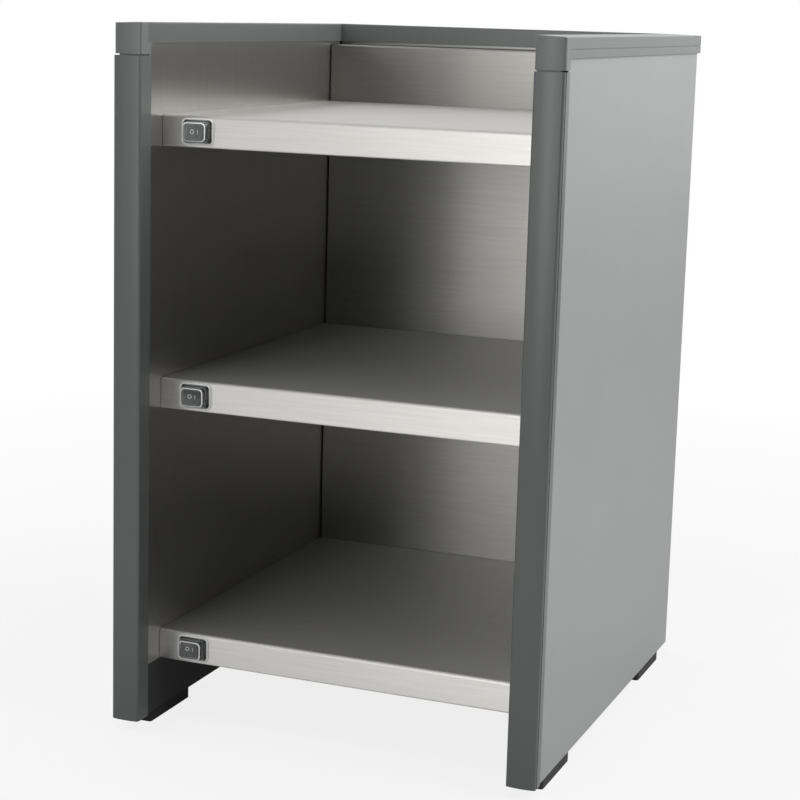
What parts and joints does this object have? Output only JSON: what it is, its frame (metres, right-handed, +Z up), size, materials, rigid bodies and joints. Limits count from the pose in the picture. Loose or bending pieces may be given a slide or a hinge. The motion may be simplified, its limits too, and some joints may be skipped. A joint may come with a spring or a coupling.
{
  "type": "cup warmer",
  "caption": "Free-standing heated cup warmer: stainless warming shelves between grey hollow side walls, each with a rocker switch under a clear splash boot.",
  "frame": {"origin": "centre of the bounding box's footprint, on the worktop", "axes": "+Z up, the open front looks along -Y, +X to the right as seen from the front"},
  "size_m": [0.382, 0.435, 0.6],
  "materials": {
    "grey_post_paint": "satin",
    "grey_panel_paint": "satin",
    "grey_rail_paint": "satin",
    "dark_skirt_paint": "matte",
    "grey_moulding": "matte",
    "black_moulding": "matte",
    "stainless": "brushed",
    "galvanised": "satin",
    "clear_silicone": "gloss",
    "silicone_heater": "matte",
    "mineral_wool": "matte",
    "black_pvc": "matte",
    "grey_polyamide": "satin",
    "nickel_brass": "polished",
    "aluminium_can": "satin"
  },
  "bodies": {
    "cabinet": {"back_cover": "grey_panel_paint", "back_liner": "stainless", "bottom_heater_mat": "silicone_heater", "bottom_insulation_pad": "mineral_wool", "bottom_shelf_floor": "galvanised", "bottom_shelf_lead": "black_pvc", "bottom_shelf_tray": "stainless", "bottom_switch_body": "black_moulding", "bottom_switch_boot": "clear_silicone", "bottom_thermostat": "aluminium_can", "inlet_lead": "black_pvc", "inlet_pins": "nickel_brass", "lead_grommets": "black_pvc", "left_base_skirt": "dark_skirt_paint", "left_front_cap": "grey_moulding", "left_front_foot": "black_moulding", "left_front_post": "grey_post_paint", "left_liner": "stainless", "left_outer_panel": "grey_panel_paint", "left_post_plug": "grey_moulding", "left_rear_corner": "grey_moulding", "left_rear_foot": "black_moulding", "left_top_rail": "grey_rail_paint", "mains_inlet": "black_moulding", "middle_heater_mat": "silicone_heater", "middle_insulation_pad": "mineral_wool", "middle_shelf_floor": "galvanised", "middle_shelf_lead": "black_pvc", "middle_shelf_tray": "stainless", "middle_switch_body": "black_moulding", "middle_switch_boot": "clear_silicone", "middle_thermostat": "aluminium_can", "rear_base_skirt": "dark_skirt_paint", "rear_top_rail": "grey_rail_paint", "right_base_skirt": "dark_skirt_paint", "right_front_cap": "grey_moulding", "right_front_foot": "black_moulding", "right_front_post": "grey_post_paint", "right_liner": "stainless", "right_outer_panel": "grey_panel_paint", "right_post_plug": "grey_moulding", "right_rear_corner": "grey_moulding", "right_rear_foot": "black_moulding", "right_top_rail": "grey_rail_paint", "terminal_block": "grey_polyamide", "top_heater_mat": "silicone_heater", "top_insulation_pad": "mineral_wool", "top_shelf_floor": "galvanised", "top_shelf_lead": "black_pvc", "top_shelf_tray": "stainless", "top_switch_body": "black_moulding", "top_switch_boot": "clear_silicone", "top_thermostat": "aluminium_can"},
    "top_switch": {"top_rocker": "black_moulding"},
    "middle_switch": {"middle_rocker": "black_moulding"},
    "bottom_switch": {"bottom_rocker": "black_moulding"}
  },
  "joints": [
    {"name": "top_rocker_tilt", "type": "hinge", "parent": "cabinet", "child": "top_switch", "pos_m": [-0.1344, -0.1746, 0.51175], "axis": [0, 0, 1], "range_deg": [0, 20]},
    {"name": "middle_rocker_tilt", "type": "hinge", "parent": "cabinet", "child": "middle_switch", "pos_m": [-0.1344, -0.1746, 0.28975], "axis": [0, 0, 1], "range_deg": [0, 20]},
    {"name": "bottom_rocker_tilt", "type": "hinge", "parent": "cabinet", "child": "bottom_switch", "pos_m": [-0.1344, -0.1746, 0.06775], "axis": [0, 0, 1], "range_deg": [0, 20]}
  ]
}
